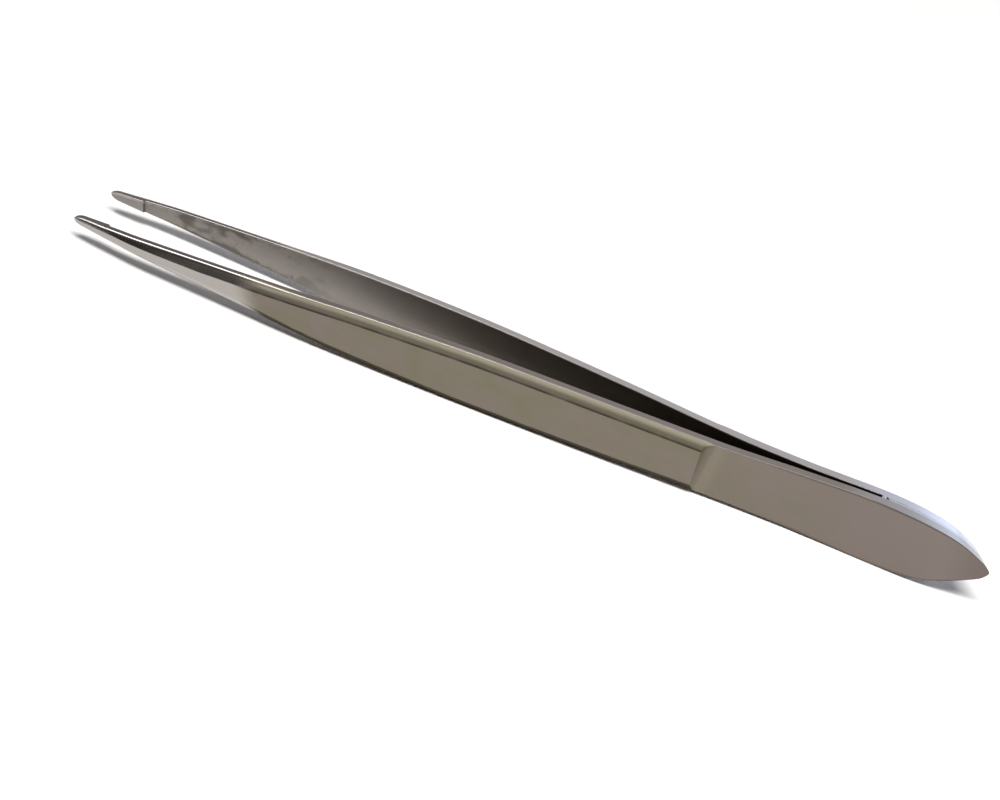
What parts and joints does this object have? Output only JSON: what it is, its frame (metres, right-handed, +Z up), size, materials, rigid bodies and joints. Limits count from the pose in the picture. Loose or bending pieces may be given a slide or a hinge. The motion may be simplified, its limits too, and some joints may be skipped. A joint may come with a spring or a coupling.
{
  "type": "precision tweezers",
  "caption": "Straight fine-point steel tweezers with flat bevelled grips, tapered round tips, thin spring tails and a ground welded end.",
  "frame": {"origin": "centre of the overall box in X and Y, on the plane that the lower edges rest on", "axes": "+X from the welded tail to the tips, +Y toward the left leg, +Z up across the width of the legs"},
  "size_m": [0.12, 0.0104, 0.0086],
  "materials": {
    "left_leg_steel": "satin, polished toward the tip",
    "right_leg_steel": "satin, polished toward the tip",
    "weld_steel": "ground flush"
  },
  "bodies": {
    "tail": {"left_leg_tail": "left_leg_steel", "right_leg_tail": "right_leg_steel", "weld_seam": "weld_steel"},
    "left_arm": {"left_leg_arm": "left_leg_steel"},
    "right_arm": {"right_leg_arm": "right_leg_steel"}
  },
  "joints": [
    {"name": "left_leg_flex", "type": "hinge", "parent": "tail", "child": "left_arm", "pos_m": [-0.0364, 0.00093, 0.0043], "axis": [0, 0, -1], "range_deg": [-1, 1.9], "stiffness_Nm_per_rad": 7.3},
    {"name": "right_leg_flex", "type": "hinge", "parent": "tail", "child": "right_arm", "pos_m": [-0.0364, -0.00093, 0.0043], "axis": [0, 0, 1], "range_deg": [-1, 1.9], "stiffness_Nm_per_rad": 7.3}
  ]
}
